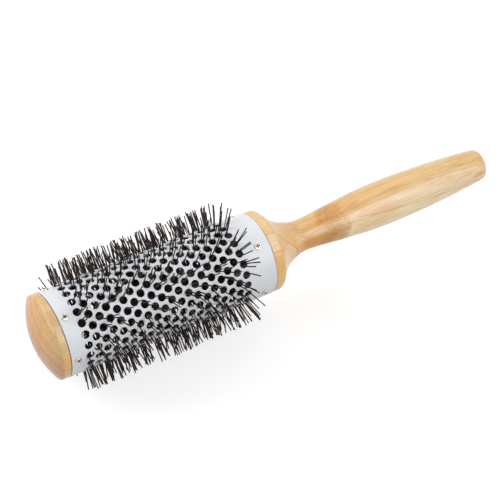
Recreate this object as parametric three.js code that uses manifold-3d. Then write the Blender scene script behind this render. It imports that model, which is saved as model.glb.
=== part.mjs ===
// Round barrel brush for blow-drying hair.
//
// A perforated aluminium tube is closed at one end by a turned bamboo cap and carried at the
// other by a turned bamboo handle. Small pan-head screws through the tube hold it to the spigots
// of both. Two steel wires, twisted together, run down the middle from spigot to spigot and
// clamp the nylon bristles, which come out through the holes of the tube.
//
// Units are millimetres. The brush lies along X, with its origin at the centre of the handle's
// flat butt and the bristles towards -X. +Z is up. Angles about the axis start at the front
// (-Y) and rise towards +Z.

import * as THREE from 'three';
import { mergeVertices } from 'three/addons/utils/BufferGeometryUtils.js';
import Module from 'manifold-3d';

const wasm = await Module();
wasm.setup();

// ---- Driving dimensions ----

const GAP = 0.3; // clearance between pieces that touch or fit into each other
const TURNED_SIDES = 24;

const BARREL_LENGTH = 112; // from the cap's shoulder to the handle's shoulder
const BARREL_R = 21.5;
const BARREL_WALL = 1;

const HOLE_RINGS = 20;
const HOLES_PER_RING = 24; // alternate rings are turned by half a hole pitch
const HOLE_R = 2;
const OUTSIDE_CORNERS = 6; // corners of each hole in the tube's outside
const INSIDE_CORNERS = 4;
const RING_PITCH = 4.506;
const FIRST_RING = 9.55; // from the cap's shoulder to the first ring's centre

const HANDLE_LENGTH = 144.1; // from its shoulder to the flat butt
const COLLAR_LENGTH = 5; // the handle's straight band beside the barrel
const WOOD_R = 21.4; // collar and cap, just inside the barrel's outside
const SHOULDER_EASE = { along: 0.25, deep: 0.2 }; // the broken edge where the collar meets the tube
const BUTT_R = 8.6;
const BUTT_ROUNDING = 1;
// Flare, neck and grip of the handle: distance from the shoulder, radius.
const GRIP_OUTLINE = [
  [COLLAR_LENGTH + 0.5, 21], [7.4, 18.9], [10.3, 15.6], [14.5, 12.3], [19.6, 10], [26, 8.35],
  [34, 8.55], [50, 10.15], [70, 11.6], [90, 11.8], [111, 11.15], [132, 9.8],
  [HANDLE_LENGTH - BUTT_ROUNDING, 8.65],
];
const GRIP_STEPS = 12;

const CAP_BAND = 3.7; // the cap's straight band beside the barrel
const CAP_DOME = 5.6;
const CAP_EDGE = 0.4;
const DOME_STEPS = 4;

const CAP_SPIGOT = 6.9; // how far the cap reaches into the barrel
const HANDLE_SPIGOT = 10.5;
const SPIGOT_R = BARREL_R - BARREL_WALL - GAP;
const SPIGOT_CHAMFER = 0.8;
const CORE_BORE_R = 2.4; // blind bores in the spigots that hold the wires
const CORE_BORE_DEPTH = 5.7;

const SCREW = { headR: 1.7, headHeight: 0.95, shankR: 1, length: 6 };
const SCREW_SIDES = 6;
const SCREW_HOLE_R = SCREW.shankR + 1.5 * GAP;
const DRILL_OVERRUN = 1; // how far a screw hole is cut past the barrel's outside and the screw's end
const CAP_SCREWS = { count: 6, fromShoulder: 3.25, firstAngle: 0 };
const HANDLE_SCREWS = { count: 5, fromShoulder: 6.6, firstAngle: 52.5 };

const WIRE_R = 0.85;
const WIRE_ORBIT = 1.12; // from the brush's axis to each wire's centre
const TWIST_PITCH = 34;
const WIRE_STEPS_PER_TURN = 8;
const ROOTS_R = { inner: 2.3, outer: 4.8 }; // packed bristle roots round the wires
const ROOTS_SIDES = 12;

const BRISTLE_R = 0.3;
const BRISTLE_ROOT_R = 4.5;
const BRISTLE_WELD = 0.05; // slivers where a bristle leaves the roots are closed up
// The tips are trimmed to a prism of this many sides, this far from the axis, so that the brush
// lies still on any side, as the bending tips of a real one let it.
const TRIM_SIDES = 12;
const TRIM_R = 32.4;
const BRISTLE_NODES = 4;
const EMPTY_OF_EIGHT = [0, 3, 5]; // the holes, out of each eight in a ring, without a bristle
const ROOT_STAGGER = 0.9; // neighbouring roots lie this far to either side of their ring
const SWAY = 0.6; // how far a bristle stands off its hole's centre

// ---- Places along the brush ----

const HANDLE_SHOULDER = -HANDLE_LENGTH;
const CAP_SHOULDER = HANDLE_SHOULDER - BARREL_LENGTH;
const CAP_TIP = CAP_SHOULDER - CAP_BAND - CAP_DOME;
const TUBE_START = CAP_SHOULDER + GAP / 2;
const TUBE_END = HANDLE_SHOULDER - GAP / 2;
const CAP_SPIGOT_FACE = CAP_SHOULDER + CAP_SPIGOT;
const HANDLE_SPIGOT_FACE = HANDLE_SHOULDER - HANDLE_SPIGOT;
const ringX = (ring) => CAP_SHOULDER + FIRST_RING + ring * RING_PITCH;

const TURN = 2 * Math.PI;
const HOLE_TURN = TURN / HOLES_PER_RING;
const TRIM_TURN = TURN / TRIM_SIDES;
const holeAngle = (ring, hole) => (hole + (ring % 2) / 2) * HOLE_TURN;
const degrees = THREE.MathUtils.degToRad;

// A point at x along the brush, at radius r and angle a about it.
const around = (x, r, a) => new THREE.Vector3(x, -r * Math.cos(a), r * Math.sin(a));

// ---- Materials ----

const finish = (color, roughness, metalness) =>
  new THREE.MeshStandardMaterial({ color, roughness, metalness });
const BAMBOO = finish('#dcbb86', 0.45, 0);
const ENAMEL = finish('#d9dde4', 0.35, 0.3);
const NICKEL = finish('#cfcbc4', 0.25, 1);
const STEEL = finish('#9a9da1', 0.35, 1);
const NYLON = finish('#1d1512', 0.4, 0);

// ---- Making solids ----

// A closed geometry as a solid that can be cut and joined. Corners closer than weld are one.
function toSolid(geometry, weld = 1e-4) {
  for (const name of ['normal', 'uv']) geometry.deleteAttribute(name);
  const merged = mergeVertices(geometry, weld);
  const corners = merged.index.array;
  const triangles = [];
  for (let i = 0; i < corners.length; i += 3) {
    const [a, b, c] = corners.slice(i, i + 3);
    if (a !== b && b !== c && c !== a) triangles.push(a, b, c);
  }
  return new wasm.Manifold(new wasm.Mesh({
    numProp: 3,
    vertProperties: Float32Array.from(merged.attributes.position.array),
    triVerts: Uint32Array.from(triangles),
  }));
}

function toGeometry(solid) {
  const { vertProperties, triVerts } = solid.getMesh();
  const geometry = new THREE.BufferGeometry();
  geometry.setAttribute('position', new THREE.BufferAttribute(vertProperties, 3));
  geometry.setIndex(new THREE.BufferAttribute(triVerts, 1));
  geometry.computeVertexNormals();
  return geometry;
}

// A regular section for wires and bristles.
function polygon(sides, r) {
  return new THREE.Shape(Array.from({ length: sides }, (_, i) => new THREE.Vector2(
    r * Math.cos((i / sides) * TURN), r * Math.sin((i / sides) * TURN))));
}

// Turns an outline of [x, radius] points, from low x to high x, about the brush's axis.
function turned(outline, sides) {
  const profile = outline.map(([x, r]) => new THREE.Vector2(r, x));
  return new THREE.LatheGeometry(profile, sides).rotateZ(-Math.PI / 2);
}

// Outline points of a rounded edge that turns from nearly outwards to +X. x and r give its
// centre.
function rounding(x, r, size) {
  return [60, 30, 0].map(degrees).map((a) => [x + size * Math.cos(a), r + size * Math.sin(a)]);
}

// Lays a geometry made along +Y from its origin outwards on the axis at x and angle a.
function laidOut(geometry, x, a) {
  const outwards = new THREE.Quaternion().setFromUnitVectors(
    new THREE.Vector3(0, 1, 0), around(0, 1, a));
  return geometry.applyQuaternion(outwards).translate(x, 0, 0);
}

// ---- Screws ----

const CAP_SCREW_X = CAP_SHOULDER + CAP_SCREWS.fromShoulder;
const HANDLE_SCREW_X = HANDLE_SHOULDER - HANDLE_SCREWS.fromShoulder;

const screwAngles = ({ count, firstAngle }) =>
  Array.from({ length: count }, (_, i) => degrees(firstAngle) + (i * TURN) / count);

// A pan-head screw with its shank towards the axis.
function screw(x, a) {
  const seat = BARREL_R + GAP;
  const outline = [
    [0, seat - SCREW.length], [SCREW.shankR, seat - SCREW.length],
    [SCREW.shankR, seat], [SCREW.headR, seat],
    [SCREW.headR * 0.85, seat + SCREW.headHeight * 0.7], [0, seat + SCREW.headHeight],
  ];
  const profile = outline.map(([r, y]) => new THREE.Vector2(r, y));
  return laidOut(new THREE.LatheGeometry(profile, SCREW_SIDES), x, a);
}

// The hole that one screw needs, through the barrel and into a spigot.
function screwHole(x, a) {
  const top = BARREL_R + DRILL_OVERRUN;
  const bottom = BARREL_R - SCREW.length - DRILL_OVERRUN;
  const cutter = new THREE.CylinderGeometry(SCREW_HOLE_R, SCREW_HOLE_R, top - bottom, SCREW_SIDES);
  return toSolid(laidOut(cutter.translate(0, (top + bottom) / 2, 0), x, a));
}

const capScrewHoles = screwAngles(CAP_SCREWS).map((a) => screwHole(CAP_SCREW_X, a));
const handleScrewHoles = screwAngles(HANDLE_SCREWS).map((a) => screwHole(HANDLE_SCREW_X, a));
const drilled = (solid, holes) => solid.subtract(wasm.Manifold.union(holes));

// ---- Handle and cap ----

function handle() {
  const grip = new THREE.SplineCurve(
    GRIP_OUTLINE.map(([x, r]) => new THREE.Vector2(HANDLE_SHOULDER + x, r)));
  const face = HANDLE_SPIGOT_FACE;
  const shoulder = HANDLE_SHOULDER + GAP / 2;
  const outline = [
    [face + CORE_BORE_DEPTH, 0], [face + CORE_BORE_DEPTH, CORE_BORE_R], [face, CORE_BORE_R],
    [face, SPIGOT_R - SPIGOT_CHAMFER], [face + SPIGOT_CHAMFER, SPIGOT_R],
    [shoulder, SPIGOT_R], [shoulder, WOOD_R - SHOULDER_EASE.deep],
    [shoulder + SHOULDER_EASE.along, WOOD_R], [HANDLE_SHOULDER + COLLAR_LENGTH, WOOD_R],
    ...grip.getPoints(GRIP_STEPS).map(({ x, y }) => [x, y]),
    ...rounding(-BUTT_ROUNDING, BUTT_R - BUTT_ROUNDING, BUTT_ROUNDING),
    [0, 0],
  ];
  return toGeometry(drilled(toSolid(turned(outline, TURNED_SIDES)), handleScrewHoles));
}

function endCap() {
  const face = CAP_SPIGOT_FACE;
  const rim = CAP_SHOULDER - CAP_BAND;
  // The dome is part of a sphere, from the tip on the axis out to the band's crisp edge.
  const domeEdge = WOOD_R - CAP_EDGE;
  const sphereR = (domeEdge ** 2 + CAP_DOME ** 2) / (2 * CAP_DOME);
  const dome = [];
  for (let i = 0; i <= DOME_STEPS; i += 1) {
    const r = (i / DOME_STEPS) * domeEdge;
    dome.push([CAP_TIP + sphereR - Math.sqrt(sphereR ** 2 - r ** 2), r]);
  }
  const outline = [
    ...dome,
    [rim + CAP_EDGE, WOOD_R], [CAP_SHOULDER - GAP / 2, WOOD_R],
    [CAP_SHOULDER - GAP / 2, SPIGOT_R], [face - SPIGOT_CHAMFER, SPIGOT_R],
    [face, SPIGOT_R - SPIGOT_CHAMFER], [face, CORE_BORE_R],
    [face - CORE_BORE_DEPTH, CORE_BORE_R], [face - CORE_BORE_DEPTH, 0],
  ];
  return toGeometry(drilled(toSolid(turned(outline, TURNED_SIDES)), capScrewHoles));
}

// ---- Perforated barrel ----
//
// Each face of the wall is woven straight between the corners of its holes. A hole's outside and
// inside corners lie on circles of the same size.

// Joins two closed loops of { angle, point } with triangles, walking round both together. Seen
// from outside, loop a lies to the left of the direction of rising angle.
function weave(triangles, a, b) {
  const at = (loop, i) => loop[i % loop.length];
  const angleAt = (loop, i) => at(loop, i).angle + (i < loop.length ? 0 : TURN);
  let i = 0;
  let k = 0;
  while (i < a.length || k < b.length) {
    const stepA = k === b.length || (i < a.length && angleAt(a, i + 1) <= angleAt(b, k + 1));
    const next = stepA ? at(a, i + 1) : at(b, k + 1);
    triangles.push(at(a, i).point, at(b, k).point, next.point);
    if (stepA) i += 1;
    else k += 1;
  }
}

// The corners of one hole at radius r, by rising angle about the hole's own axis from +X.
function holeCorners(ring, hole, r, count) {
  const cornerR = HOLE_R * Math.sqrt(Math.PI / (3 * Math.sin(Math.PI / 3))); // area of a true circle
  return Array.from({ length: count }, (_, i) => {
    const turn = (i / count) * TURN;
    const along = cornerR * Math.cos(turn);
    const angle = holeAngle(ring, hole) + (cornerR * Math.sin(turn)) / r;
    return { turn, along, angle, point: around(ringX(ring) + along, r, angle) };
  });
}

// The corners on one side of a whole ring of holes, by rising angle about the brush's axis.
function ringEdge(ring, r, count, side) {
  const edge = [];
  for (let hole = 0; hole < HOLES_PER_RING; hole += 1) {
    const corners = holeCorners(ring, hole, r, count).filter((c) => c.along * side > -1e-6);
    edge.push(...corners.sort((p, q) => p.angle - q.angle));
  }
  return edge;
}

function circle(x, r, count) {
  return Array.from({ length: count }, (_, i) => {
    const angle = (i / count) * TURN;
    return { angle, point: around(x, r, angle) };
  });
}

// One face of the wall, from the barrel's start to its end. The inside faces the other way.
function wallFace(triangles, r, count, ends, outside) {
  const join = (low, high) => weave(triangles, ...(outside ? [low, high] : [high, low]));
  join(ends.start, ringEdge(0, r, count, -1));
  for (let ring = 1; ring < HOLE_RINGS; ring += 1) {
    join(ringEdge(ring - 1, r, count, 1), ringEdge(ring, r, count, -1));
  }
  join(ringEdge(HOLE_RINGS - 1, r, count, 1), ends.end);
}

// The lands between neighbouring holes of one ring in the tube's outside.
function lands(triangles, ring, r) {
  for (let hole = 0; hole < HOLES_PER_RING; hole += 1) {
    const [, high, low] = holeCorners(ring, hole, r, OUTSIDE_CORNERS);
    const [, , , , nextLow, nextHigh] = holeCorners(ring, hole + 1, r, OUTSIDE_CORNERS);
    triangles.push(low.point, high.point, nextHigh.point, low.point, nextHigh.point, nextLow.point);
  }
}

function holeWalls(triangles, ring, inner, outer) {
  const loop = (hole, r, count) =>
    holeCorners(ring, hole, r, count).map(({ turn, point }) => ({ angle: turn, point }));
  for (let hole = 0; hole < HOLES_PER_RING; hole += 1) {
    weave(triangles, loop(hole, inner, INSIDE_CORNERS), loop(hole, outer, OUTSIDE_CORNERS));
  }
}

function barrel() {
  const outer = BARREL_R;
  const inner = BARREL_R - BARREL_WALL;
  const triangles = [];
  const ends = (r) => ({
    start: circle(TUBE_START, r, TURNED_SIDES),
    end: circle(TUBE_END, r, TURNED_SIDES),
  });
  const outside = ends(outer);
  const inside = ends(inner);
  wallFace(triangles, outer, OUTSIDE_CORNERS, outside, true);
  wallFace(triangles, inner, INSIDE_CORNERS, inside, false);
  for (let ring = 0; ring < HOLE_RINGS; ring += 1) {
    lands(triangles, ring, outer);
    holeWalls(triangles, ring, inner, outer);
  }
  weave(triangles, inside.start, outside.start);
  weave(triangles, outside.end, inside.end);
  const geometry = new THREE.BufferGeometry().setFromPoints(triangles);
  return toGeometry(drilled(toSolid(geometry), [...capScrewHoles, ...handleScrewHoles]));
}

// ---- Twisted core wires ----

class TwistedWire extends THREE.Curve {
  constructor(start, end, phase) {
    super();
    Object.assign(this, { start, end, phase });
  }

  getPoint(t, target = new THREE.Vector3()) {
    const x = THREE.MathUtils.lerp(this.start, this.end, t);
    const angle = this.phase + ((x - this.start) / TWIST_PITCH) * TURN;
    return target.copy(around(x, WIRE_ORBIT, angle));
  }
}

function coreWire(phase) {
  const start = CAP_SPIGOT_FACE - CORE_BORE_DEPTH + 2 * GAP;
  const end = HANDLE_SPIGOT_FACE + CORE_BORE_DEPTH - 2 * GAP;
  const steps = Math.round((WIRE_STEPS_PER_TURN * (end - start)) / TWIST_PITCH);
  const extrudePath = new TwistedWire(start, end, phase);
  return toGeometry(toSolid(
    new THREE.ExtrudeGeometry(polygon(5, WIRE_R), { steps, extrudePath })));
}

// ---- Bristles ----

// Repeatable random numbers from 0 to 1.
function randomSource(seed) {
  let state = seed;
  return () => {
    state = (state * 1664525 + 1013904223) % 4294967296;
    return state / 4294967296;
  };
}

// One straight bristle for each hole that has one, from its root between the wires out through
// the hole to the trimmed side that it faces.
function layBristles() {
  const random = randomSource(20);
  const spread = (size) => (2 * random() - 1) * size;
  const bristles = [];
  for (let ring = 0; ring < HOLE_RINGS; ring += 1) {
    for (let hole = 0; hole < HOLES_PER_RING; hole += 1) {
      if (EMPTY_OF_EIGHT.includes((hole + ring) % 8)) continue;
      const stagger = hole % 2 ? ROOT_STAGGER : -ROOT_STAGGER;
      const root = around(ringX(ring) + stagger, BRISTLE_ROOT_R, holeAngle(ring, hole));
      const through = around(
        ringX(ring) + spread(SWAY), BARREL_R - BARREL_WALL / 2,
        holeAngle(ring, hole) + spread(SWAY) / BARREL_R);
      const side = Math.round(holeAngle(ring, hole) / TRIM_TURN) * TRIM_TURN;
      const outwards = around(0, 1, side);
      const reach = (TRIM_R - root.dot(outwards)) / through.clone().sub(root).dot(outwards);
      bristles.push({ ring, root, tip: root.clone().lerp(through, reach) });
    }
  }
  return bristles;
}

function bristleSolid({ root, tip }) {
  const along = tip.clone().sub(root);
  const length = along.length();
  const strand = new THREE.ExtrudeGeometry(
    polygon(3, BRISTLE_R), { depth: length, bevelEnabled: false });
  const lean = new THREE.Quaternion().setFromUnitVectors(
    new THREE.Vector3(0, 0, 1), along.divideScalar(length));
  return toSolid(strand.applyQuaternion(lean).translate(root.x, root.y, root.z));
}

// A quarter of the bristles, fused to the slice of packed roots that they come from.
function bristleQuarter(bristles, quarter) {
  const perNode = HOLE_RINGS / BRISTLE_NODES;
  const margin = RING_PITCH / 2 - GAP / 2;
  const start = ringX(quarter * perNode) - margin;
  const end = ringX((quarter + 1) * perNode - 1) + margin;
  const { inner, outer } = ROOTS_R;
  const outline = [[start, inner], [start, outer], [end, outer], [end, inner], [start, inner]];
  // The edges of the roots lie midway between the bristles.
  const roots = turned(outline, ROOTS_SIDES).rotateX(HOLE_TURN / 4);
  const own = bristles.filter(({ ring }) => Math.floor(ring / perNode) === quarter);
  const fused = wasm.Manifold.union([toSolid(roots), ...own.map(bristleSolid)]);
  return toGeometry(toSolid(toGeometry(fused), BRISTLE_WELD));
}

// The least clear gap between two bristles, taken between points along each of them.
function leastBristleGap(bristles) {
  const samples = 24;
  const lines = bristles.map(({ root, tip }) => Array.from(
    { length: samples + 1 }, (_, i) => root.clone().lerp(tip, i / samples)));
  let least = Infinity;
  for (let i = 0; i < lines.length; i += 1) {
    for (let k = i + 1; k < lines.length; k += 1) {
      if (bristles[k].ring - bristles[i].ring > 1) continue;
      for (const p of lines[i]) {
        for (const q of lines[k]) least = Math.min(least, p.distanceTo(q));
      }
    }
  }
  return least - 2 * BRISTLE_R;
}

// ---- Assembly ----

const group = new THREE.Group();
group.name = 'round_barrel_brush';

function add(name, geometry, material) {
  const mesh = new THREE.Mesh(geometry, material);
  mesh.name = name;
  group.add(mesh);
}

add('handle', handle(), BAMBOO);
add('end_cap', endCap(), BAMBOO);
add('barrel', barrel(), ENAMEL);
screwAngles(CAP_SCREWS).forEach((a, i) =>
  add(`cap_screw_${i + 1}`, screw(CAP_SCREW_X, a), NICKEL));
screwAngles(HANDLE_SCREWS).forEach((a, i) =>
  add(`handle_screw_${i + 1}`, screw(HANDLE_SCREW_X, a), NICKEL));
add('core_wire_a', coreWire(0), STEEL);
add('core_wire_b', coreWire(Math.PI), STEEL);

const bristles = layBristles();
for (let quarter = 0; quarter < BRISTLE_NODES; quarter += 1) {
  add(`bristles_${quarter + 1}`, bristleQuarter(bristles, quarter), NYLON);
}
console.log(`bristles: ${bristles.length}, least gap ${leastBristleGap(bristles).toFixed(2)} mm`);
console.log(`overall length: ${(-CAP_TIP).toFixed(1)} mm`);

export default group;
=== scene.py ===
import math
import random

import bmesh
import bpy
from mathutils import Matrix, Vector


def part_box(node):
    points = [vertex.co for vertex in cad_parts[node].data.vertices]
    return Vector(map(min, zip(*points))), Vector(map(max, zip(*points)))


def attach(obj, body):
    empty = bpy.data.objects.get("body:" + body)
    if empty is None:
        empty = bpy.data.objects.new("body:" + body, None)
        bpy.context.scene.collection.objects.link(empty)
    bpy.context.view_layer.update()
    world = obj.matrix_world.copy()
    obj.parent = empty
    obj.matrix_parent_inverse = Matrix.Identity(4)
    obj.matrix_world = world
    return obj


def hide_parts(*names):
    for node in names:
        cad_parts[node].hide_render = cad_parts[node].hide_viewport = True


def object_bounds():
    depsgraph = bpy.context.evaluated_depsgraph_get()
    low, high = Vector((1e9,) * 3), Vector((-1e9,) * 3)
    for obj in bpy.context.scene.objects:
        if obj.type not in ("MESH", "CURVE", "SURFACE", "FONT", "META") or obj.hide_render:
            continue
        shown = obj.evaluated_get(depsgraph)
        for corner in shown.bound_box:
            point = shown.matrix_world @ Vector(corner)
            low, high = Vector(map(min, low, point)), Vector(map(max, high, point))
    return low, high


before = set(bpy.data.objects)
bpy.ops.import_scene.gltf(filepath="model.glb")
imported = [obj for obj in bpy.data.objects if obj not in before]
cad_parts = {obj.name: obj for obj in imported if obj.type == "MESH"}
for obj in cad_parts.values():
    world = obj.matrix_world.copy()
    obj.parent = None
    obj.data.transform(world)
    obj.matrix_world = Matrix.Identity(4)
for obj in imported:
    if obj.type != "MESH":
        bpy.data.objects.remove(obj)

# Round barrel brush: a vented, enamelled aluminium barrel between a turned bamboo cap and
# handle, with nylon bristles that come out of its holes from a twisted wire core.
#
# Metres, in the frame's own axes: the brush lies along X with its butt at the origin and its
# bristles towards -X, and +Z is up. Angles about the brush start at the front (-Y) and rise
# towards +Z.

MM = 0.001
TURN = 2 * math.pi

cad_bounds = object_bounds()

# ---- Sizes, from the frame and from the brush's own pattern ----

barrel_low, barrel_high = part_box("barrel")
handle_low, handle_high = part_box("handle")
cap_low, cap_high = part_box("end_cap")

GAP = 0.3 * MM  # between pieces that touch or fit into each other
BARREL_R = barrel_high.z
BARREL_WALL = 1 * MM
CAP_SHOULDER = barrel_low.x - GAP / 2
HANDLE_SHOULDER = barrel_high.x + GAP / 2

HOLE_RINGS = 20
HOLES_PER_RING = 24
HOLE_TURN = TURN / HOLES_PER_RING
HOLE_R = 2 * MM
HOLE_SIDES = 24
DIMPLE_R = 2.2 * MM
DIMPLE_DEPTH = 0.1 * MM
RING_PITCH = 4.506 * MM
FIRST_RING = CAP_SHOULDER + 9.55 * MM

WOOD_R = handle_high.z
WOOD_EDGE = 0.35 * MM  # rounding of the wood's edges beside the barrel
SPIGOT_R = BARREL_R - BARREL_WALL - GAP
SPIGOT_CHAMFER = 0.8 * MM
CORE_BORE_R = 2.4 * MM
CORE_BORE_DEPTH = 5.7 * MM
COLLAR_LENGTH = 5 * MM
RIDGE_ROUNDING = 0.4 * MM  # where the collar ends and the flare starts
BUTT_R = 8.6 * MM
BUTT_ROUNDING = 1 * MM
CAP_BAND = 3.7 * MM
TURNED_STEPS = 96
GRIP_STEPS = 5  # between two points of the grip's outline
DOME_STEPS = 20

# Flare, neck and grip of the handle, in millimetres: distance from the shoulder, radius.
GRIP_OUTLINE = [
    (5.5, 21.0), (7.4, 18.9), (10.3, 15.6), (14.5, 12.3), (19.6, 10.0), (26.0, 8.35),
    (34.0, 8.55), (50.0, 10.15), (70.0, 11.6), (90.0, 11.8), (111.0, 11.15), (132.0, 9.8),
    (143.1, 8.65),
]

HEAD_R = 1.7 * MM
HEAD_HEIGHT = 0.85 * MM
HEAD_SUNK = 0.05 * MM
SHANK_R = 1 * MM
SHANK_LENGTH = 5.4 * MM
RECESS = {"length": 2.5 * MM, "width": 0.6 * MM, "depth": 0.5 * MM}

WIRE_R = 0.85 * MM
WIRE_ORBIT = 1.12 * MM  # from the brush's axis to each wire's middle
TWIST_PITCH = 34 * MM
WIRE_STEPS = 120
PACKED_ROOTS_R = (2.25 * MM, 4.8 * MM)

BRISTLE_R = 0.3 * MM
ROOT_R = 4.2 * MM
TIP_R = (30.4 * MM, 32.3 * MM)
USUAL_TIP_R = TIP_R[1] - 0.4 * MM
PAIRS_IN_HOLE = (0, 1, 2)
PAIRS_PERCENT = (10, 60, 30)
ALONE_OR_TWO_PERCENT = (45, 55)
BRISTLE_NODES = ("bristles_1", "bristles_2", "bristles_3", "bristles_4")


def around(x, r, angle):
    """A point at x along the brush, at radius r and an angle about it."""
    return Vector((x, -r * math.cos(angle), r * math.sin(angle)))


def ring_x(ring):
    return FIRST_RING + ring * RING_PITCH


def hole_angle(ring, hole):
    return (hole + (ring % 2) / 2) * HOLE_TURN


# ---- Materials ----


def colour(code):
    """An sRGB hex colour as linear red, green, blue and alpha."""
    parts = [int(code[i:i + 2], 16) / 255 for i in (1, 3, 5)]
    linear = [p / 12.92 if p <= 0.04045 else ((p + 0.055) / 1.055) ** 2.4 for p in parts]
    return (*linear, 1.0)


def add_node(tree, kind, inputs=None, **settings):
    """Adds a node. Each input is a value or the socket that feeds it."""
    made = tree.nodes.new(kind)
    for name, value in settings.items():
        setattr(made, name, value)
    for name, value in (inputs or {}).items():
        if isinstance(value, bpy.types.NodeSocket):
            tree.links.new(value, made.inputs[name])
        else:
            made.inputs[name].default_value = value
    return made


def math_node(tree, operation, *values, clamp=False):
    return add_node(
        tree, "ShaderNodeMath", dict(enumerate(values)), operation=operation,
        use_clamp=clamp).outputs[0]


def map_range(tree, value, start, end, at_start, at_end, smooth=False):
    """Goes from at_start to at_end while the value goes from start to end."""
    return add_node(
        tree, "ShaderNodeMapRange", {"Value": value, 1: start, 2: end, 3: at_start, 4: at_end},
        interpolation_type="SMOOTHSTEP" if smooth else "LINEAR").outputs[0]


def noise(tree, place, scale, detail, roughness=0.5, distortion=0.0):
    """Noise with so many features in each unit of the place."""
    return add_node(tree, "ShaderNodeTexNoise", {
        "Vector": place, "Scale": scale, "Detail": detail, "Roughness": roughness,
        "Distortion": distortion}).outputs[0]


def drawn_out(tree, place, share):
    """The place with its x cut down to a share, so that patterns on it run along the brush."""
    return add_node(
        tree, "ShaderNodeMapping", {"Vector": place, "Scale": (share, 1, 1)}).outputs[0]


def ramp(tree, factor, stops, interpolation="LINEAR"):
    """A colour ramp through (position, hex colour) stops."""
    made = add_node(tree, "ShaderNodeValToRGB", {"Fac": factor})
    made.color_ramp.interpolation = interpolation
    elements = made.color_ramp.elements
    while len(elements) < len(stops):
        elements.new(0.5)
    for element, (position, code) in zip(elements, stops):
        element.position = position
        element.color = colour(code)
    return made.outputs["Color"]


def mixed(tree, factor, under, over, blend="MIX"):
    return add_node(
        tree, "ShaderNodeMix", {0: factor, 6: under, 7: over}, data_type="RGBA",
        blend_type=blend).outputs[2]


def tinted(tree, under, mask, strength, code, blend="MULTIPLY"):
    """The colour under with a hex colour laid over it, at this strength where the mask is 1."""
    return mixed(tree, math_node(tree, "MULTIPLY", mask, strength), under, colour(code), blend)


def bump(tree, height, strength, distance):
    return add_node(tree, "ShaderNodeBump", {
        "Strength": strength, "Distance": distance, "Height": height}).outputs[0]


def new_material(name):
    """An empty node material, its tree, and the place of its points in metres."""
    material = bpy.data.materials.new(name)
    material.use_nodes = True
    tree = material.node_tree
    tree.nodes.clear()
    return material, tree, add_node(tree, "ShaderNodeTexCoord").outputs["Object"]


def principled(tree, inputs):
    """The material's surface, as a principled shader with these inputs."""
    shader = add_node(tree, "ShaderNodeBsdfPrincipled", inputs)
    add_node(tree, "ShaderNodeOutputMaterial", {"Surface": shader.outputs[0]})


# ---- Bamboo. All places in it are in mm. ----

BLANK = 50  # width of the blank that the strips are glued up to

# Places on the handle.
SHOULDER_X = HANDLE_SHOULDER / MM
WAIST_X = SHOULDER_X + 31
KNUCKLE_X = SHOULDER_X + 43.4
KNOT = {"middle": (-6, -9, 1.4), "shape": (2.4, 1, 0.75)}
LOW_STRIP = {
    "start_x": -100, "full_x": -88,
    "full_z": 5.8,  # its upper edge at full_x
    "fall": 0.105,  # how far the edge falls for each mm towards the butt
    "unseen": -20,  # how far below that the edge is before start_x
    # The tint is the strip's own pale wood, made paler still as painted light on the handle's
    # underside.
    "glue_line": 0.12, "tint": "#ffecc4", "glue": "#e6b97e",
}


def grain_noise(tree, in_mm, scale, stretch, detail, roughness=0.6, distortion=0.0):
    """Features per mm across the fibres, and how many times longer along them."""
    return noise(
        tree, drawn_out(tree, in_mm, 1 / stretch), scale, detail, roughness, distortion)


def low_strip(tree, x, z, through, straggle, tint):
    """Low on the handle's front one strip rises past the knuckle and sinks towards the butt."""
    start_x, full_x, full_z, fall = (
        LOW_STRIP[key] for key in ("start_x", "full_x", "full_z", "fall"))
    rise = map_range(tree, x, start_x, full_x, LOW_STRIP["unseen"], 0, smooth=True)
    slope = math_node(tree, "MULTIPLY_ADD", x, -fall, full_z + fall * full_x)
    edge_z = math_node(tree, "ADD", rise, slope)
    straggle_here = math_node(tree, "MULTIPLY", straggle, 3)
    under = math_node(tree, "ADD", math_node(tree, "SUBTRACT", edge_z, z), straggle_here)
    at_front = math_node(
        tree, "MULTIPLY", math_node(tree, "LESS_THAN", through, -1),
        math_node(tree, "GREATER_THAN", x, start_x))
    # Partly painted light: the strip's tint is paler than its wood, for light on the handle's
    # underside.
    for comparison, code in (
            (("GREATER_THAN", under, 0), LOW_STRIP["tint"]),
            (("COMPARE", under, 0, LOW_STRIP["glue_line"]), LOW_STRIP["glue"])):
        here = math_node(tree, "MULTIPLY", at_front, math_node(tree, *comparison))
        tint = mixed(tree, here, tint, colour(code))
    return tint


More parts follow.
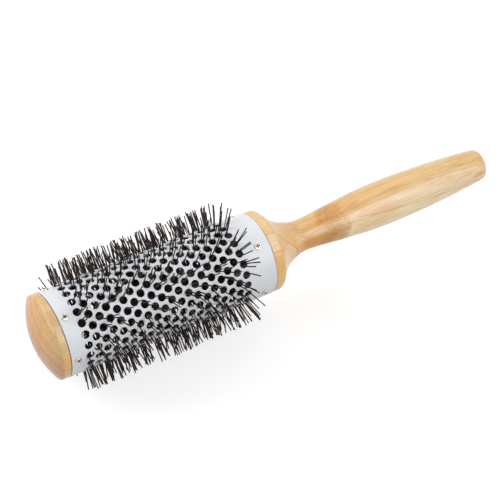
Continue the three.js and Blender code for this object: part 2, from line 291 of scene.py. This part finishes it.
def waist_and_knuckle(tree, in_mm, x, z, face):
    """The waist of the handle is cut nearer the culm's skin and is darker, most of all below,
    where the darkening is painted shade. At the knuckle, where the culm had a joint, short ripples
    run across the fibres; its amber gathers below and a paler tint lies above, a split that is
    painted shade."""
    # Painted shade: this factor is 1 low on the handle and 0.2 high up, and weights the waist's
    # dark tint and the knuckle's amber.
    below = map_range(tree, z, 5, 1.5, 0.2, 1, smooth=True)

    def near_x(middle, inside, outside, wander):
        """1 up to inside from the middle and 0 from outside, with an edge that wanders."""
        strayed = math_node(
            tree, "MULTIPLY_ADD", grain_noise(tree, in_mm, 0.16, 1, 2), wander, x)
        away = math_node(
            tree, "ABSOLUTE", math_node(tree, "SUBTRACT", strayed, middle + wander / 2))
        return map_range(tree, away, inside, outside, 1, 0, smooth=True)

    waist = math_node(tree, "MULTIPLY", near_x(WAIST_X, 3, 17, 6), below)
    face = tinted(tree, face, waist, 1, "#e6bc6c")
    knuckle = near_x(KNUCKLE_X, 2, 9.5, 14)
    # Painted shade: the knuckle's amber tint is laid on its underside, and a paler tint over the
    # rest of it.
    amber = math_node(tree, "MULTIPLY", knuckle, below)
    rest = math_node(tree, "SUBTRACT", knuckle, amber, clamp=True)
    face = tinted(tree, face, amber, 0.75, "#d2a650")
    face = tinted(tree, face, rest, 0.8, "#f0d498")
    ripples = grain_noise(tree, in_mm, 0.75, 0.45, 3, 0.75, 1.2)
    for slope, offset, strength, code in ((12, -6, 0.6, "#a47630"), (-12, 5.4, 0.5, "#e6b768")):
        crests = math_node(tree, "MULTIPLY_ADD", ripples, slope, offset, clamp=True)
        here = math_node(tree, "MULTIPLY", knuckle, crests)
        face = tinted(tree, face, here, strength, code, "MIX")
    return face


def knot(tree, in_mm, face):
    """A small ragged knot near the butt."""
    reach = add_node(
        tree, "ShaderNodeMapping",
        {"Vector": in_mm, "Location": KNOT["middle"], "Scale": KNOT["shape"]},
        vector_type="TEXTURE").outputs[0]
    radius = add_node(
        tree, "ShaderNodeVectorMath", {0: reach}, operation="LENGTH").outputs["Value"]
    ragged = math_node(
        tree, "MULTIPLY_ADD", grain_noise(tree, in_mm, 0.6, 1.6, 3), 2.4, radius)
    stain = map_range(tree, ragged, 1.6, 3.6, 0.9, 0)
    return tinted(tree, face, stain, 0.75, "#d9974a", "MIX")


# Laminated bamboo, turned, sanded and lacquered. Strips of the culm's wall lie side by side,
# each with its own tint. The fibres run along the brush, so they show as fine lines on its
# sides and as dots on the end grain of the cap. Where the blank holds a knuckle of the culm,
# short ripples cross the fibres and the wood turns amber. The lacquer lays a soft gloss over
# the grain, and a trace of dust pales the wood a little where it turns away.
def bamboo(name, across, strips, end_strips, end_x, bundle_tone, spigot_shade, grip=False):
    """across is the direction through the strips, which are (start, hex colour). end_strips are
    those beside the barrel: they show up to the first end_x and no more from the second.
    The spigot's comparison and x pick out the wood inside the barrel, which is darkened there as
    painted shade. grip adds what only the handle has."""
    material, tree, place = new_material(name)
    in_mm = add_node(
        tree, "ShaderNodeVectorMath", {0: place, "Scale": 1 / MM}, operation="SCALE").outputs[0]
    parts = add_node(tree, "ShaderNodeSeparateXYZ", {0: in_mm})
    x, z = parts.outputs["X"], parts.outputs["Z"]

    # Fibres 0.5 mm apart, streaks of them 1.5 mm wide, and dark bundles 0.9 mm apart, which are
    # lines along the wood and dots where it is cut across.
    fibres = grain_noise(tree, in_mm, 2, 45, 2)
    streaks = grain_noise(tree, in_mm, 0.65, 30, 3)
    patches = grain_noise(tree, in_mm, 0.07, 2.5, 2)
    from_bundle = add_node(tree, "ShaderNodeTexVoronoi", {
        "Vector": drawn_out(tree, in_mm, 1 / 60), "Scale": 1.1}).outputs["Distance"]
    bundles = map_range(tree, from_bundle, 0.2, 0.45, 1, 0)

    # The strips. Fibres straggle across the glue lines a little.
    straggle = math_node(tree, "MULTIPLY_ADD", streaks, 0.3, -0.15)
    through = math_node(tree, "ADD", add_node(
        tree, "ShaderNodeVectorMath", {0: in_mm, 1: across}, operation="DOT_PRODUCT",
    ).outputs["Value"], straggle)
    share = math_node(tree, "MULTIPLY_ADD", through, 1 / BLANK, 0.5)
    laid_up, laid_up_at_end = (
        ramp(tree, share, [(0.5 + start / BLANK, code) for start, code in some], "CONSTANT")
        for some in (strips, end_strips))
    at_end = map_range(tree, x, *end_x, 1, 0)
    tint = mixed(tree, at_end, laid_up, laid_up_at_end)
    if grip:
        tint = low_strip(tree, x, z, through, straggle, tint)

    # The grain on them, which is fainter beside the barrel.
    warmer = math_node(tree, "SUBTRACT", patches, 0.4, clamp=True)
    warm = tinted(tree, tint, warmer, 1.5, "#eab468")
    figure = math_node(tree, "MULTIPLY_ADD", at_end, -0.28, 0.5)
    streaked = mixed(tree, figure, warm, ramp(
        tree, streaks, [(0.34, "#ac9478"), (0.5, "#bcbcbc"), (0.66, "#e4dccb")]), "SOFT_LIGHT")
    face = mixed(tree, figure, streaked, ramp(
        tree, fibres, [(0.32, "#ddb888"), (0.48, "#ffffff")]), "MULTIPLY")
    face = tinted(tree, face, bundles, bundle_tone, "#c98f52")
    if grip:
        face = waist_and_knuckle(tree, in_mm, x, z, face)
        face = knot(tree, in_mm, face)
    # Painted shade: the wood inside the barrel is darkened to a deep brown.
    comparison, shoulder = spigot_shade
    face = tinted(tree, face, math_node(tree, comparison, x, shoulder), 0.9, "#3b2a1b")

    principled(tree, {
        "Base Color": face, "Roughness": map_range(tree, fibres, 0.3, 0.7, 0.55, 0.42),
        "IOR": 1.45, "Normal": bump(tree, fibres, 0.15, 0.05 * MM),
        "Coat Weight": 0.55, "Coat Roughness": 0.15, "Coat IOR": 1.5,
        "Sheen Weight": 0.15, "Sheen Roughness": 0.4,
    })
    return material


# ---- Metal and nylon ----


# Heat-proof enamel sprayed on aluminium and baked: an even, cool pale grey with a satin sheen
# and the faintest orange peel.
def barrel_enamel():
    material, tree, place = new_material("satin_enamel_sprayed")
    peel = noise(tree, place, 1.2 / MM, 2)
    cloud = noise(tree, place, 0.05 / MM, 2)
    principled(tree, {
        "Base Color": ramp(tree, cloud, [(0.3, "#e6eaf0"), (0.7, "#eef1f5")]),
        "Roughness": map_range(tree, cloud, 0.3, 0.7, 0.36, 0.44), "IOR": 1.5,
        "Normal": bump(tree, peel, 0.06, 0.02 * MM),
    })
    return material


# Bare aluminium inside the tube: bright, with the fine lines of rolling along it.
def rolled_aluminium():
    material, tree, place = new_material("rolled_aluminium_bare")
    lines = noise(tree, drawn_out(tree, place, 0.03), 4 / MM, 2)
    principled(tree, {
        "Base Color": colour("#a9abae"), "Metallic": 1,
        "Roughness": map_range(tree, lines, 0, 1, 0.22, 0.4),
    })
    return material


# Extruded nylon filament, dyed brown-black through: near black, with a faint gloss.
def nylon_filament():
    material, tree, place = new_material("nylon_filament_extruded")
    dye = noise(tree, place, 0.35 / MM, 1)
    principled(tree, {
        "Base Color": ramp(tree, dye, [(0.35, "#170d09"), (0.7, "#35221a")]), "Roughness": 0.5,
        "IOR": 1.53, "Specular IOR Level": 0.25,
    })
    return material


# Nickel plate on a pressed steel screw: warm and bright, clouded by handling.
def nickel_plate():
    material, tree, place = new_material("nickel_plate_pressed")
    grime = noise(tree, place, 1.4 / MM, 3)
    principled(tree, {
        "Base Color": ramp(tree, grime, [(0.35, "#b0a390"), (0.6, "#dad3c7")]), "Metallic": 1,
        "Roughness": map_range(tree, grime, 0.35, 0.7, 0.38, 0.2),
    })
    return material


# The punched walls of the screws' cross recesses, coloured a dull, dark brown.
def dark_recess_walls():
    material, tree, place = new_material("nickel_recess_darkened")
    mottle = noise(tree, place, 2 / MM, 2)
    principled(tree, {
        "Base Color": ramp(tree, mottle, [(0.35, "#38241a"), (0.7, "#6e5040")]), "Roughness": 0.7,
    })
    return material


# Drawn steel wire: grey, clouded, with a soft gloss.
def drawn_steel():
    material, tree, place = new_material("steel_wire_drawn")
    clouds = noise(tree, place, 2 / MM, 2)
    principled(tree, {
        "Base Color": ramp(tree, clouds, [(0.3, "#7c7f84"), (0.7, "#a5a8ac")]), "Metallic": 1,
        "Roughness": 0.35,
    })
    return material


# ---- Making pieces ----


def finished(name, bm, materials, node, sharp_angle=35):
    """The bmesh as a smooth piece that stands for a CAD node and rides on its body."""
    mesh = bpy.data.meshes.new(name)
    bm.to_mesh(mesh)
    bm.free()
    for material in materials:
        mesh.materials.append(material)
    mesh.shade_smooth()
    mesh.set_sharp_from_angle(angle=math.radians(sharp_angle))
    piece = bpy.data.objects.new(name, mesh)
    bpy.context.collection.objects.link(piece)
    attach(piece, "root")
    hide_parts(node)


def as_object(name, bm):
    """The bmesh as a helper object, which isn't a piece."""
    mesh = bpy.data.meshes.new(name)
    bm.to_mesh(mesh)
    bm.free()
    helper = bpy.data.objects.new(name, mesh)
    bpy.context.collection.objects.link(helper)
    return helper


def evaluated_bmesh(helper):
    """A bmesh of what an object's modifiers or curve make."""
    depsgraph = bpy.context.evaluated_depsgraph_get()
    mesh = bpy.data.meshes.new_from_object(helper.evaluated_get(depsgraph))
    bm = bmesh.new()
    bm.from_mesh(mesh)
    bpy.data.meshes.remove(mesh)
    return bm


def smooth_outline(points, steps):
    """A Catmull-Rom curve through the points, with so many steps between each two."""
    padded = [points[0], *points, points[-1]]
    curve = []
    for p0, p1, p2, p3 in zip(padded, padded[1:], padded[2:], padded[3:]):
        for i in range(steps):
            t = i / steps
            curve.append(tuple(
                0.5 * (2 * b + (c - a) * t + (2 * a - 5 * b + 4 * c - d) * t ** 2
                       + (3 * b - a - 3 * c + d) * t ** 3)
                for a, b, c, d in zip(p0, p1, p2, p3)))
    return [*curve, points[-1]]


def rounding(x, r, size, start, end, steps=6):
    """A quarter round about (x, r). At 0 degrees it faces +X and at 90 outwards."""
    turns = [math.radians(start + (end - start) * i / steps) for i in range(steps + 1)]
    return [(x + size * math.cos(a), r + size * math.sin(a)) for a in turns]


def verts_of(geometry):
    return [v for v in geometry if isinstance(v, bmesh.types.BMVert)]


def turned(outline, steps=TURNED_STEPS):
    """Spins an outline of (x, radius) about the brush's axis into a closed solid."""
    bm = bmesh.new()
    verts = [bm.verts.new((x, -r, 0)) for x, r in outline]
    for a, b in zip(verts, verts[1:]):
        bm.edges.new((a, b))
    bmesh.ops.spin(
        bm, geom=bm.verts[:] + bm.edges[:], cent=(0, 0, 0), axis=(1, 0, 0), angle=TURN,
        steps=steps, use_merge=True)
    bmesh.ops.remove_doubles(bm, verts=bm.verts[:], dist=0.002 * MM)
    bmesh.ops.recalc_face_normals(bm, faces=bm.faces[:])
    return bm


# ---- Bamboo handle and cap ----


def handle(material):
    face = handle_low.x
    shoulder = HANDLE_SHOULDER + GAP / 2
    ridge = HANDLE_SHOULDER + COLLAR_LENGTH
    grip = [(HANDLE_SHOULDER + x * MM, r * MM) for x, r in GRIP_OUTLINE]
    outline = [
        (face + CORE_BORE_DEPTH, 0), (face + CORE_BORE_DEPTH, CORE_BORE_R), (face, CORE_BORE_R),
        (face, SPIGOT_R - SPIGOT_CHAMFER), (face + SPIGOT_CHAMFER, SPIGOT_R),
        (shoulder, SPIGOT_R),
        *rounding(shoulder + WOOD_EDGE, WOOD_R - WOOD_EDGE, WOOD_EDGE, 180, 90, 3),
        *rounding(ridge - RIDGE_ROUNDING, WOOD_R - RIDGE_ROUNDING, RIDGE_ROUNDING, 90, 50, 3),
        *smooth_outline(grip, GRIP_STEPS),
        *rounding(-BUTT_ROUNDING, BUTT_R - BUTT_ROUNDING, BUTT_ROUNDING, 70, 0),
        (0, 0),
    ]
    finished("bamboo_handle", turned(outline), [material], "handle")


def end_cap(material):
    face = cap_high.x
    shoulder = CAP_SHOULDER - GAP / 2
    rim = CAP_SHOULDER - CAP_BAND
    # The dome is part of a sphere and meets the band at a crisp edge.
    dome_depth = rim - cap_low.x
    dome_r = WOOD_R - WOOD_EDGE
    sphere_r = (dome_r ** 2 + dome_depth ** 2) / (2 * dome_depth)
    dome = [dome_r * i / DOME_STEPS for i in range(DOME_STEPS)]
    outline = [
        *((cap_low.x + sphere_r - math.sqrt(sphere_r ** 2 - r ** 2), r) for r in dome),
        *rounding(rim + WOOD_EDGE, WOOD_R - WOOD_EDGE, WOOD_EDGE, 150, 90, 4),
        *rounding(shoulder - WOOD_EDGE, WOOD_R - WOOD_EDGE, WOOD_EDGE, 90, 0, 3),
        (shoulder, SPIGOT_R), (face - SPIGOT_CHAMFER, SPIGOT_R),
        (face, SPIGOT_R - SPIGOT_CHAMFER),
        (face, CORE_BORE_R), (face - CORE_BORE_DEPTH, CORE_BORE_R), (face - CORE_BORE_DEPTH, 0),
    ]
    finished("bamboo_end_cap", turned(outline), [material], "end_cap")


# ---- Vented barrel ----


def on_square(angle):
    """Where a ray at this angle meets a unit square, evenly spaced along each side."""
    side = round(angle / (TURN / 4))
    along = (angle - side * TURN / 4) / (TURN / 8)
    return Matrix.Rotation(side * TURN / 4, 2) @ Vector((1, along))


def vent_cell(bm):
    """One hole with its dimpled rim and the land round it, laid on the barrel at the front."""
    bmesh.ops.create_circle(bm, segments=HOLE_SIDES, radius=HOLE_R)
    rim = bm.verts[:]
    half = Vector((RING_PITCH / 2, HOLE_TURN / 2 * BARREL_R))
    dimple = bmesh.ops.extrude_edge_only(bm, edges=bm.edges[:])["geom"]
    dimple_edges = [e for e in dimple if isinstance(e, bmesh.types.BMEdge)]
    bmesh.ops.scale(bm, vec=(DIMPLE_R / HOLE_R,) * 3, verts=verts_of(dimple))
    bmesh.ops.translate(bm, vec=(0, 0, -DIMPLE_DEPTH), verts=rim)
    land = bmesh.ops.extrude_edge_only(bm, edges=dimple_edges)["geom"]
    for vert in verts_of(land):
        corner = on_square(math.atan2(vert.co.y, vert.co.x))
        vert.co.x, vert.co.y = corner.x * half.x, corner.y * half.y
    for vert in bm.verts:
        vert.co = around(vert.co.x, BARREL_R + vert.co.z, vert.co.y / BARREL_R)


def barrel(enamel, bare):
    bm = bmesh.new()
    vent_cell(bm)
    bmesh.ops.spin(
        bm, geom=bm.verts[:] + bm.edges[:] + bm.faces[:], cent=(0, 0, 0), axis=(1, 0, 0),
        angle=TURN - HOLE_TURN, steps=HOLES_PER_RING - 1, use_duplicate=True)
    ring = bm.verts[:] + bm.edges[:] + bm.faces[:]
    for i in range(1, HOLE_RINGS):
        moved = verts_of(bmesh.ops.duplicate(bm, geom=ring)["geom"])
        bmesh.ops.translate(bm, vec=(i * RING_PITCH, 0, 0), verts=moved)
        if i % 2:
            half_pitch = Matrix.Rotation(HOLE_TURN / 2, 3, "X")
            bmesh.ops.rotate(bm, cent=(0, 0, 0), matrix=half_pitch, verts=moved)
    bmesh.ops.translate(bm, vec=(FIRST_RING, 0, 0), verts=bm.verts[:])
    bmesh.ops.remove_doubles(bm, verts=bm.verts[:], dist=0.02 * MM)

    # The plain bands at both ends, then the wall's thickness.
    vented = (FIRST_RING - RING_PITCH / 2, ring_x(HOLE_RINGS - 1) + RING_PITCH / 2)
    near = 0.05 * MM
    for edge_x, end_x in zip(vented, (barrel_low.x, barrel_high.x)):
        border = [e for e in bm.edges if e.is_boundary
                  and all(abs(v.co.x - edge_x) < near for v in e.verts)]
        for vert in verts_of(bmesh.ops.extrude_edge_only(bm, edges=border)["geom"]):
            vert.co.x = end_x
    bmesh.ops.recalc_face_normals(bm, faces=bm.faces[:])
    bmesh.ops.solidify(bm, geom=bm.faces[:], thickness=BARREL_WALL)
    bmesh.ops.recalc_face_normals(bm, faces=bm.faces[:])
    # Enamel covers the outside and the walls of the holes. The inside is bare.
    bare_r = BARREL_R - 0.75 * BARREL_WALL
    for f in bm.faces:
        centre = f.calc_center_median()
        f.material_index = int(math.hypot(centre.y, centre.z) < bare_r)
    finished("vented_barrel", bm, [enamel, bare], "barrel", 50)


# ---- Screws ----


def screw_shape():
    """A pan-head screw standing on the origin along +X. The walls of its cross recess take the
    second material."""
    # The head's side stands up straight to a share of its height. The crown over it is a fuller
    # curve than a quarter of an ellipse.
    steps, side, fullness = 8, 0.35, 0.6
    crown = [math.radians(90 * i / steps) for i in range(steps)]
    blank_bm = turned([
        (-SHANK_LENGTH, 0), (-SHANK_LENGTH, SHANK_R), (0, SHANK_R), (0, HEAD_R),
        *((HEAD_HEIGHT * (side + (1 - side) * math.sin(a) ** fullness),
           HEAD_R * math.cos(a) ** fullness) for a in crown),
        (HEAD_HEIGHT, 0)], 32)
    cutter_bm = bmesh.new()
    for turn in (0, TURN / 4):
        made = bmesh.ops.create_cube(cutter_bm, size=1)["verts"]
        bmesh.ops.scale(
            cutter_bm, vec=(2 * RECESS["depth"], RECESS["length"], RECESS["width"]), verts=made)
        # It narrows towards its foot.
        foot = [v for v in made if v.co.x < 0]
        bmesh.ops.scale(cutter_bm, vec=(1, 0.7, 0.8), verts=foot)
        bmesh.ops.rotate(
            cutter_bm, cent=(0, 0, 0), matrix=Matrix.Rotation(turn, 3, "X"), verts=made)
    bmesh.ops.translate(cutter_bm, vec=(HEAD_HEIGHT, 0, 0), verts=cutter_bm.verts[:])
    for f in cutter_bm.faces:
        f.material_index = 1
    blank, cutter = as_object("screw_blank", blank_bm), as_object("screw_recess", cutter_bm)
    cut = blank.modifiers.new("recess", "BOOLEAN")
    cut.operation = "DIFFERENCE"
    cut.solver = "EXACT"
    cut.use_self = True
    cut.object = cutter
    shape = evaluated_bmesh(blank)
    for each in (blank, cutter):
        bpy.data.objects.remove(each)
    return shape


def screws(plate, recess):
    """A screw at each of the CAD's, with its cross turned as it was left."""
    shape = bpy.data.meshes.new("screw_shape")
    screw_shape().to_mesh(shape)
    rng = random.Random(7)
    for name in sorted(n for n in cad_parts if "_screw_" in n):
        low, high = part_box(name)
        middle = (low + high) / 2
        angle = math.atan2(middle.z, -middle.y)
        seat = around(middle.x, BARREL_R - HEAD_SUNK, angle)
        outwards = around(0, 1, angle).to_track_quat("X", "Z").to_matrix().to_4x4()
        spin = Matrix.Rotation(rng.uniform(0, TURN / 4), 4, "X")
        bm = bmesh.new()
        bm.from_mesh(shape)
        bmesh.ops.transform(
            bm, matrix=Matrix.Translation(seat) @ outwards @ spin, verts=bm.verts[:])
        finished(f"pan_head_{name}", bm, [plate, recess], name)


# ---- Wires and bristles ----


def tubes(name, lines, radius, resolution=1):
    """Round strands along lists of points, as one mesh in a bmesh."""
    curve = bpy.data.curves.new(name, "CURVE")
    curve.dimensions = "3D"
    curve.bevel_depth = radius
    curve.bevel_resolution = resolution
    curve.use_fill_caps = True
    for line in lines:
        spline = curve.splines.new("POLY")
        spline.points.add(len(line) - 1)
        for point, place in zip(spline.points, line):
            point.co = (*place, 1)
    helper = bpy.data.objects.new(name, curve)
    bpy.context.collection.objects.link(helper)
    bm = evaluated_bmesh(helper)
    bpy.data.objects.remove(helper)
    bmesh.ops.remove_doubles(bm, verts=bm.verts[:], dist=0.001 * MM)
    return bm


def core_wires(material):
    for phase, node in ((0, "core_wire_a"), (TURN / 2, "core_wire_b")):
        low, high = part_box(node)
        line = []
        for i in range(WIRE_STEPS + 1):
            x = low.x + (high.x - low.x) * i / WIRE_STEPS
            line.append(around(x, WIRE_ORBIT, phase + (x - low.x) / TWIST_PITCH * TURN))
        bm = tubes(f"twisted_{node}", [line], WIRE_R, 3)
        finished(f"twisted_{node}", bm, [material], node)


def strand(rng, ring, hole, offset, lean):
    """One bristle: out of the core, through its hole off centre, and on with a slight bend.
    lean is where its root lies beside its hole's middle, along and about the brush."""
    root = (
        ring_x(ring) + lean.x + rng.uniform(-0.4, 0.4) * MM, ROOT_R,
        hole_angle(ring, hole) + (lean.y + rng.uniform(-0.15, 0.15) * MM) / ROOT_R)
    through = (
        ring_x(ring) + offset.x, BARREL_R, hole_angle(ring, hole) + offset.y / BARREL_R)
    tip_r = rng.triangular(*TIP_R, USUAL_TIP_R)
    start, middle = around(*root), around(*through)
    outwards = (middle - start).normalized()
    reach = (tip_r - BARREL_R) / outwards.dot(around(0, 1, through[2]))
    sideways = around(0, 1, through[2] + TURN / 4)
    bend = Vector((rng.gauss(0, 0.35) * MM, 0, 0)) + sideways * rng.gauss(0, 0.35) * MM
    line = [start, start + (middle - start) / 2]
    for share in (0, 0.25, 0.5, 0.75, 1):
        line.append(middle + outwards * (reach * share) + bend * share ** 1.6)
    return line


def tuft(rng, ring, hole):
    """The bristles of one hole: pairs that lie close together, of which some have lost one, and
    each pair on its own side of the hole. Those of the end rings fan out over the plain bands,
    most of all at the handle."""
    fan = 4 * math.exp(-(HOLE_RINGS - 1 - ring)) - 0.6 * math.exp(-ring)
    lines = []
    turn = rng.uniform(0, TURN)
    for pair in range(rng.choices(PAIRS_IN_HOLE, PAIRS_PERCENT)[0]):
        turn += TURN / 2 * pair + rng.uniform(-0.5, 0.5)
        lean = Vector((rng.uniform(-1.5, 1.5) - fan, rng.uniform(-0.5, 0.5))) * MM
        for side in rng.choices(((0,), (-1, 1)), ALONE_OR_TWO_PERCENT)[0]:
            at = turn + side * rng.uniform(0.25, 0.5)
            reach = rng.uniform(1.1, 1.55) * MM
            offset = Vector((reach * math.cos(at), reach * math.sin(at)))
            lines.append(strand(rng, ring, hole, offset, lean))
    return lines


def bristles(material):
    rng = random.Random(11)
    rings_each = HOLE_RINGS // len(BRISTLE_NODES)
    for quarter, node in enumerate(BRISTLE_NODES):
        lines = []
        for ring in range(quarter * rings_each, (quarter + 1) * rings_each):
            for hole in range(HOLES_PER_RING):
                lines += tuft(rng, ring, hole)
        bm = tubes(node, lines, BRISTLE_R)
        packed_roots(bm, quarter * rings_each, rings_each)
        finished(f"nylon_{node}", bm, [material], node, 60)


def packed_roots(bm, first_ring, rings):
    """The dense ends of the filaments round the twisted wires: a rough sleeve."""
    margin = RING_PITCH / 2 - GAP / 2
    start, end = ring_x(first_ring) - margin, ring_x(first_ring + rings - 1) + margin
    inner, outer = PACKED_ROOTS_R
    rng = random.Random(first_ring)
    steps, roughness = 60, 0.5
    outline = [(start, inner)]
    for i in range(steps + 1):
        rough_r = outer - rng.uniform(0, roughness) * MM
        outline.append((start + (end - start) * i / steps, rough_r))
    outline += [(end, inner), (start, inner)]
    sleeve = turned(outline, 40)
    mesh = bpy.data.meshes.new("packed_roots")
    sleeve.to_mesh(mesh)
    sleeve.free()
    bm.from_mesh(mesh)
    bpy.data.meshes.remove(mesh)


# ---- The brush ----

# The strips of the handle stand upright, side by side from front to back. The cap was turned
# from a blank that lay at another angle. Its dome is end grain, which takes up more lacquer and
# is darker than its band. Beyond that, the dome's strips darken steadily towards its underside,
# which is painted shade.
HANDLE_STRIPS = [
    (-25, "#f8deb8"), (-7.2, "#edcd9c"), (-5.6, "#e6c082"), (0.6, "#edc888"),
    (6.2, "#e6bd74"), (11.8, "#efcf9c"), (17.4, "#e6be7e"),
]
COLLAR_STRIPS = [
    (-25, "#f4cf8c"), (-17.55, "#d29a58"), (-17.35, "#f5d6a8"), (-10.35, "#d29a58"),
    (-10.15, "#efc88a"), (0.6, "#f0cc96"), (6.2, "#eac386"), (11.8, "#f3d5ac"), (17.4, "#eac48e"),
]
# The dome's strips, from its underside to its top: besides their own tones and a pale glue line,
# they go from dark brown to pale, which is painted shade.
DOME_STRIPS_AND_SHADE = [
    (-25, "#9a6b2c"), (-19.6, "#9c6a2b"), (-13.1, "#a06c2b"), (-6.6, "#b07a34"), (-0.2, "#c99250"),
    (6.2, "#daa864"), (12.6, "#ead09a"), (12.8, "#e2bb7c"), (19.2, "#edd2a2"),
]
BAND_STRIPS = [
    (-25, "#e2bd7c"), (-0.2, "#e4c181"), (6.2, "#eebd78"), (12.6, "#f0d5a3"), (12.8, "#e6c990"),
    (19.2, "#e4ca9c"),
]
# The collar's strips run on into the flare, and the band's end where the dome starts.
collar_x = (HANDLE_SHOULDER + COLLAR_LENGTH) / MM
rim_x = (CAP_SHOULDER - CAP_BAND) / MM
handle(bamboo(
    "bamboo_laminate_handle", (0, 1, 0), HANDLE_STRIPS, COLLAR_STRIPS,
    end_x=(collar_x + 14, collar_x + 18), bundle_tone=0.12,
    spigot_shade=("LESS_THAN", HANDLE_SHOULDER / MM), grip=True))
end_cap(bamboo(
    "bamboo_laminate_cap", (0, -0.43, 0.9), DOME_STRIPS_AND_SHADE, BAND_STRIPS,
    end_x=(rim_x + 0.1, rim_x - 0.1), bundle_tone=0.24,
    spigot_shade=("GREATER_THAN", CAP_SHOULDER / MM)))
barrel(barrel_enamel(), rolled_aluminium())
screws(nickel_plate(), dark_recess_walls())
core_wires(drawn_steel())
bristles(nylon_filament())

# ---- Studio ----

MIDDLE = Vector((-0.15, 0, 0))  # of the brush, where the lamps are aimed
LAMP_SIZE = 0.9
LAMPS = {  # place in metres, watts
    "key": ((-1.05, 0.75, 0.6), 13),
    "fill": ((0.25, -0.95, 0.7), 7),
    "front": ((-0.35, -0.85, 0.75), 1.5),
    "top": ((0.4, 0.35, 1.0), 3),
}
WORLD_LIGHT = 0.25  # on the brush. What is seen of the world is at full strength.
TABLE_SIZE = 3
TABLE_TONE = 0.45
TABLE_GLOW = {"near": 0.3, "at_near": 0.68, "far": 1, "at_far": 1}  # metres, strengths


def lamps():
    for name, (place, watts) in LAMPS.items():
        light = bpy.data.lights.new(name, "AREA")
        light.shape = "DISK"
        light.size = LAMP_SIZE
        light.energy = watts
        lamp = bpy.data.objects.new(name, light)
        lamp.location = place
        lamp.rotation_euler = (MIDDLE - lamp.location).to_track_quat("-Z", "Y").to_euler()
        bpy.context.collection.objects.link(lamp)


def seen(tree):
    """1 for the camera's rays, also those off gloss or through glass, and 0 for soft light."""
    path = add_node(tree, "ShaderNodeLightPath").outputs
    direct = math_node(tree, "MAXIMUM", path["Is Camera Ray"], path["Is Glossy Ray"])
    return math_node(tree, "MAXIMUM", direct, path["Is Transmission Ray"])


def white_surround():
    """A plain white world: soft light on the brush, white where the camera or gloss sees it."""
    world = bpy.data.worlds.new("white_surround")
    world.use_nodes = True
    tree = world.node_tree
    tree.nodes.clear()
    strength = map_range(tree, seen(tree), 0, 1, WORLD_LIGHT, 1)
    background = add_node(
        tree, "ShaderNodeBackground", {"Color": (1, 1, 1, 1), "Strength": strength})
    add_node(tree, "ShaderNodeOutputWorld", {"Surface": background.outputs[0]})
    bpy.context.scene.world = world


def pale_floor():
    """A matt white table under the bristles. It keeps the brush's shadow. Where it is seen it is
    lifted to the surround's white, less so near the brush, so that the shadow still shows."""
    material, tree, place = new_material("matt_white_table")
    tone = (TABLE_TONE, TABLE_TONE, TABLE_TONE, 1)
    diffuse = add_node(tree, "ShaderNodeBsdfDiffuse", {"Color": tone})
    distance = add_node(
        tree, "ShaderNodeVectorMath", {0: place}, operation="LENGTH").outputs["Value"]
    lift_here = map_range(
        tree, distance, TABLE_GLOW["near"], TABLE_GLOW["far"], TABLE_GLOW["at_near"],
        TABLE_GLOW["at_far"])
    glow = math_node(tree, "MULTIPLY", seen(tree), lift_here)
    lift = add_node(tree, "ShaderNodeEmission", {"Color": (1, 1, 1, 1), "Strength": glow})
    both = add_node(tree, "ShaderNodeAddShader", {0: diffuse.outputs[0], 1: lift.outputs[0]})
    add_node(tree, "ShaderNodeOutputMaterial", {"Surface": both.outputs[0]})
    bm = bmesh.new()
    bmesh.ops.create_grid(bm, x_segments=1, y_segments=1, size=TABLE_SIZE)
    bmesh.ops.translate(bm, vec=(0, 0, cad_bounds[0][2]), verts=bm.verts[:])
    table = as_object("table", bm)
    table.data.materials.append(material)


def camera():
    """Looks down on the brush from the cap's side, with the handle going away to the right."""
    data = bpy.data.cameras.new("camera")
    data.lens = 91.26
    data.sensor_width = 36
    view = bpy.data.objects.new("camera", data)
    view.location = (HANDLE_SHOULDER - 0.258, -0.4134, 0.4157)
    view.rotation_euler = (math.radians(90 - 40.3), 0, math.radians(-31.7))
    bpy.context.collection.objects.link(view)
    bpy.context.scene.camera = view


lamps()
white_surround()
pale_floor()
camera()
bpy.context.scene.view_settings.view_transform = "Standard"
